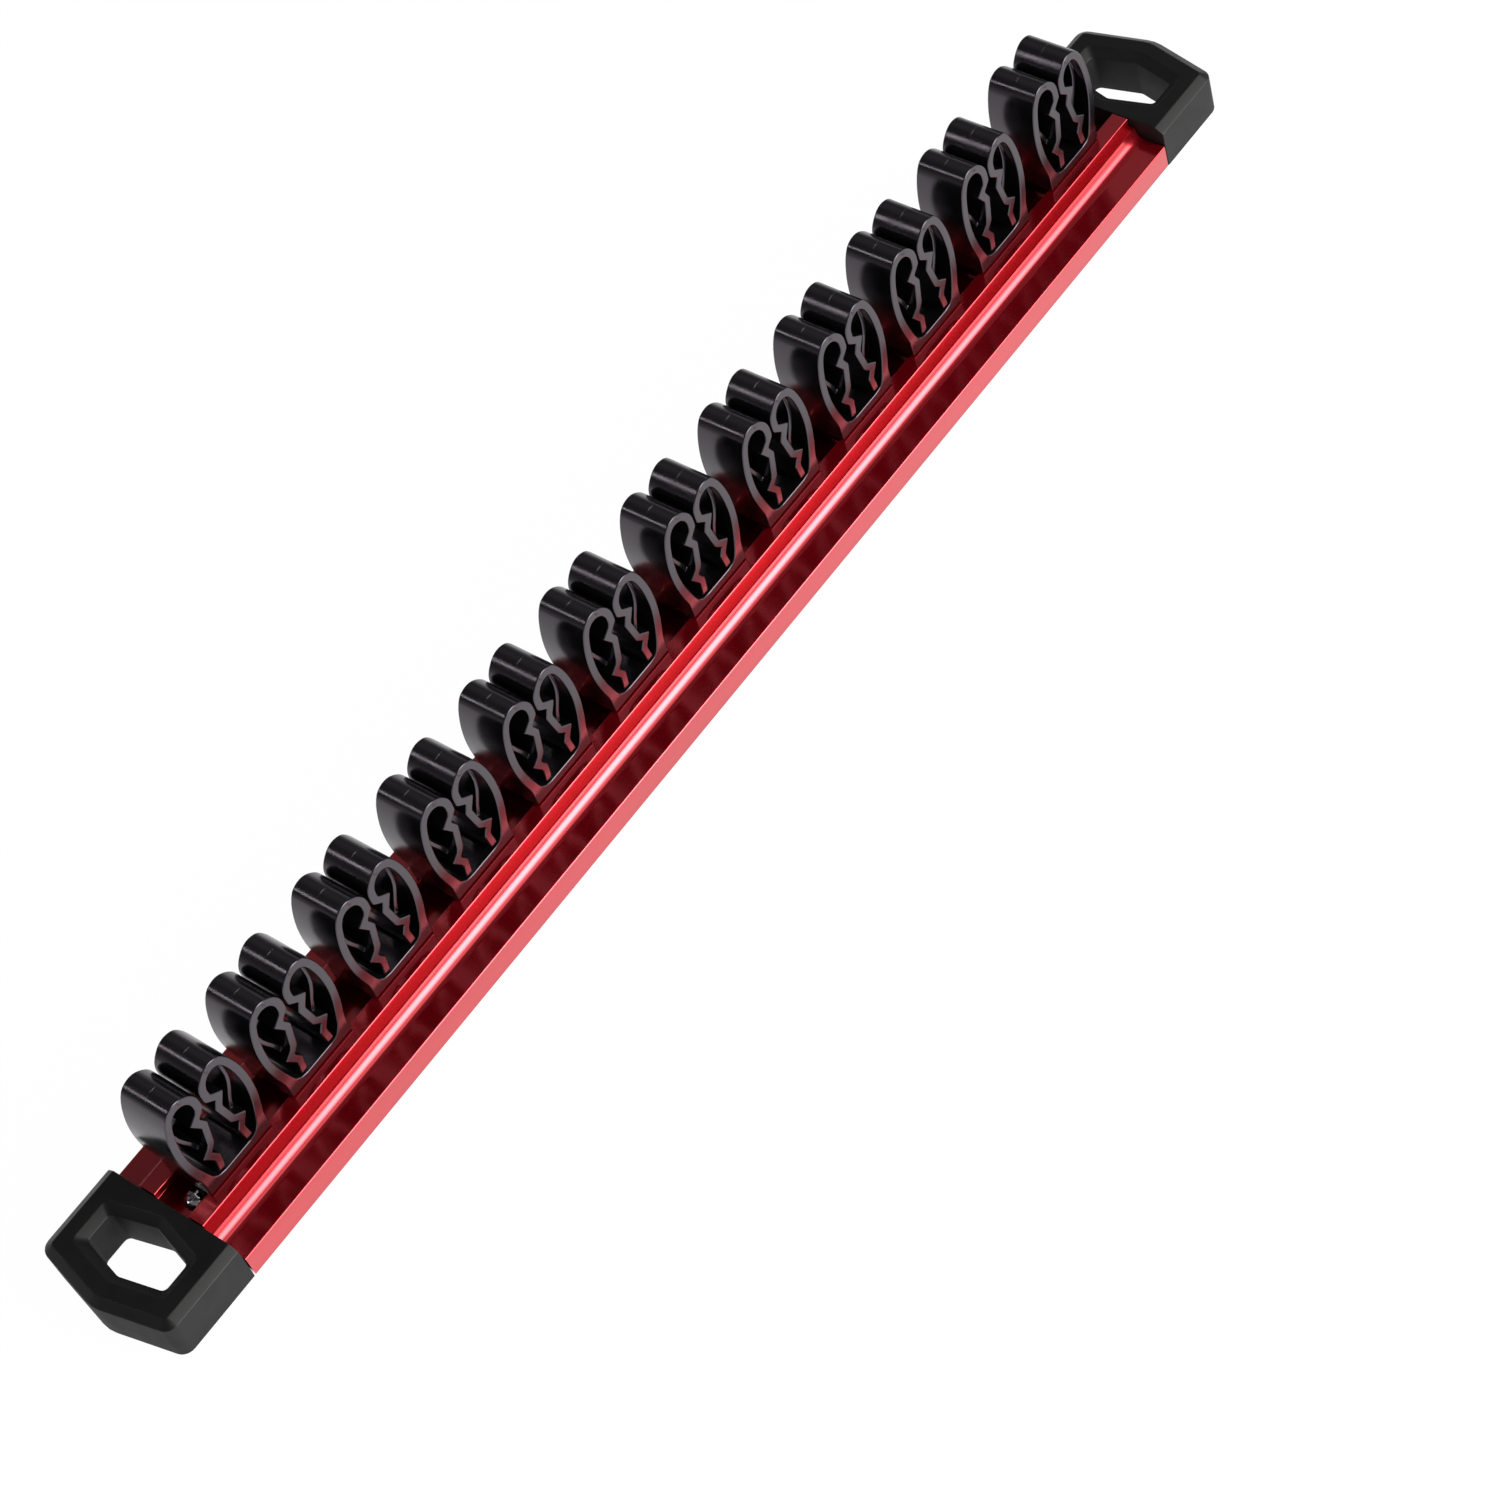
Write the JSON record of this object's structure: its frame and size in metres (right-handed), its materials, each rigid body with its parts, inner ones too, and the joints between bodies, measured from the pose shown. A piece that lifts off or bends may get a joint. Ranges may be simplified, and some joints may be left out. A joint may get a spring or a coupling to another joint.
{
  "type": "magnetic tool organizer",
  "caption": "Long aluminium rail with a magnetic underside and pointed end caps; springy plastic clips slide along its top slot and hold tools upright.",
  "frame": {"origin": "centre of the underside, which is the magnet's face and the plane the rail rests on", "axes": "+X along the rail, +Y across it (the direction the tools lie), +Z from the magnet's face up to the clips"},
  "size_m": [0.4098, 0.04, 0.0446],
  "materials": {
    "red_anodised": "deep red anodised, glossy",
    "matte_black": "fine matte moulding",
    "gloss_black": "smooth, half gloss",
    "magnet_strip": "matte flexible magnet",
    "screw_steel": "bright plated"
  },
  "bodies": {
    "rail_body": {"rail": "red_anodised", "magnet_strip": "magnet_strip", "end_cap_left": "matte_black", "end_cap_right": "matte_black", "cap_screw_left": "screw_steel", "cap_screw_right": "screw_steel"},
    "clip_01": {"clip_01": "gloss_black"},
    "clip_02": {"clip_02": "gloss_black"},
    "clip_03": {"clip_03": "gloss_black"},
    "clip_04": {"clip_04": "gloss_black"},
    "clip_05": {"clip_05": "gloss_black"},
    "clip_06": {"clip_06": "gloss_black"},
    "clip_07": {"clip_07": "gloss_black"},
    "clip_08": {"clip_08": "gloss_black"},
    "clip_09": {"clip_09": "gloss_black"},
    "clip_10": {"clip_10": "gloss_black"},
    "clip_11": {"clip_11": "gloss_black"},
    "clip_12": {"clip_12": "gloss_black"}
  },
  "joints": [
    {"name": "clip_01_slide", "type": "slide", "parent": "rail_body", "child": "clip_01", "axis": [1, 0, 0], "range_m": [-0.0019, 0.00165]},
    {"name": "clip_02_slide", "type": "slide", "parent": "rail_body", "child": "clip_02", "axis": [1, 0, 0], "range_m": [-0.00165, 0.0022]},
    {"name": "clip_03_slide", "type": "slide", "parent": "rail_body", "child": "clip_03", "axis": [1, 0, 0], "range_m": [-0.0022, 0.0024]},
    {"name": "clip_04_slide", "type": "slide", "parent": "rail_body", "child": "clip_04", "axis": [1, 0, 0], "range_m": [-0.0024, 0.00235]},
    {"name": "clip_05_slide", "type": "slide", "parent": "rail_body", "child": "clip_05", "axis": [1, 0, 0], "range_m": [-0.00235, 0.00235]},
    {"name": "clip_06_slide", "type": "slide", "parent": "rail_body", "child": "clip_06", "axis": [1, 0, 0], "range_m": [-0.00235, 0.00295]},
    {"name": "clip_07_slide", "type": "slide", "parent": "rail_body", "child": "clip_07", "axis": [1, 0, 0], "range_m": [-0.00295, 0.00265]},
    {"name": "clip_08_slide", "type": "slide", "parent": "rail_body", "child": "clip_08", "axis": [1, 0, 0], "range_m": [-0.00265, 0.00265]},
    {"name": "clip_09_slide", "type": "slide", "parent": "rail_body", "child": "clip_09", "axis": [1, 0, 0], "range_m": [-0.00265, 0.00235]},
    {"name": "clip_10_slide", "type": "slide", "parent": "rail_body", "child": "clip_10", "axis": [1, 0, 0], "range_m": [-0.00235, 0.0025]},
    {"name": "clip_11_slide", "type": "slide", "parent": "rail_body", "child": "clip_11", "axis": [1, 0, 0], "range_m": [-0.0025, 0.00285]},
    {"name": "clip_12_slide", "type": "slide", "parent": "rail_body", "child": "clip_12", "axis": [1, 0, 0], "range_m": [-0.00285, 0.004]}
  ]
}
